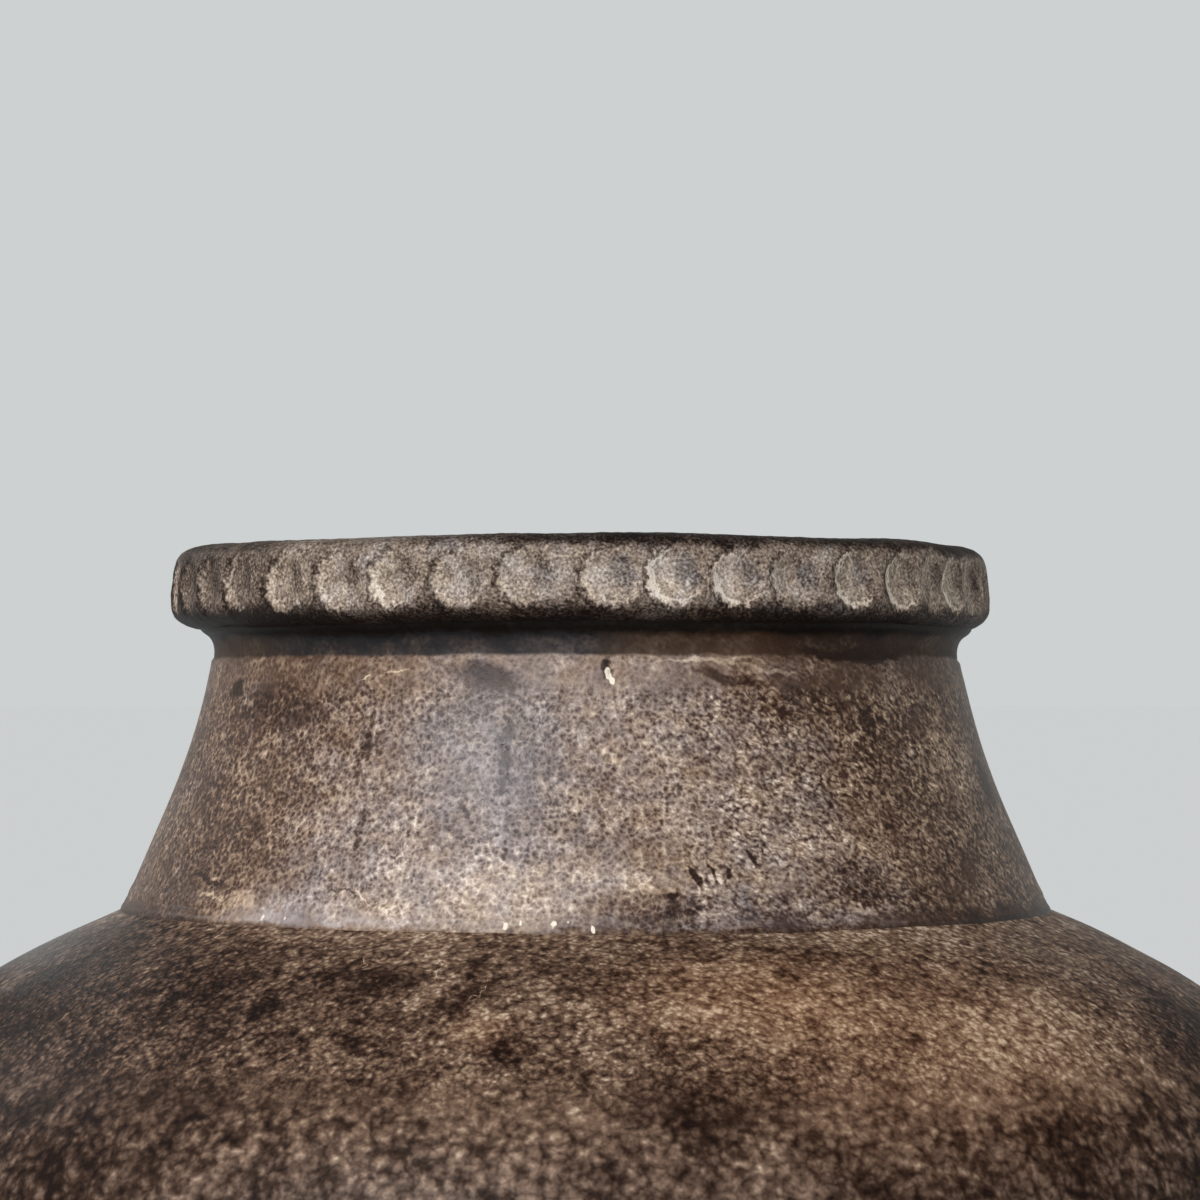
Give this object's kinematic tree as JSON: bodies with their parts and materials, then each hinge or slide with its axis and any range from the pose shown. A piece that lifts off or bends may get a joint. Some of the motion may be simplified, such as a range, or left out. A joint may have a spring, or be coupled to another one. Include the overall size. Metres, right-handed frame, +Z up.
{
  "type": "decorative pot",
  "caption": "Wide-bellied earthenware jar with a flaring neck, a thick rim band pressed all round with fingertip prints and a low foot ring.",
  "frame": {"origin": "centre of the foot ring's underside, on the surface that the jar stands on", "axes": "+Z up along the jar's axis, -Y towards the viewer; the jar is round about Z"},
  "size_m": [0.444, 0.444, 0.4105],
  "materials": {
    "glazed_body": "mottled brown, worn satin",
    "glazed_neck": "cream flecks over dark brown, worn satin",
    "glazed_rim": "grey-brown, worn to cream at the prints",
    "bare_clay": "unglazed, matt"
  },
  "bodies": {
    "root": {"foot_ring": "bare_clay", "floor_slab": "bare_clay", "floor_coil": "bare_clay", "lower_belly": "glazed_body", "belly_coil": "bare_clay", "upper_belly": "glazed_body", "neck_seam_bead": "glazed_neck", "neck": "glazed_neck", "rim_band": "glazed_rim"}
  },
  "joints": []
}
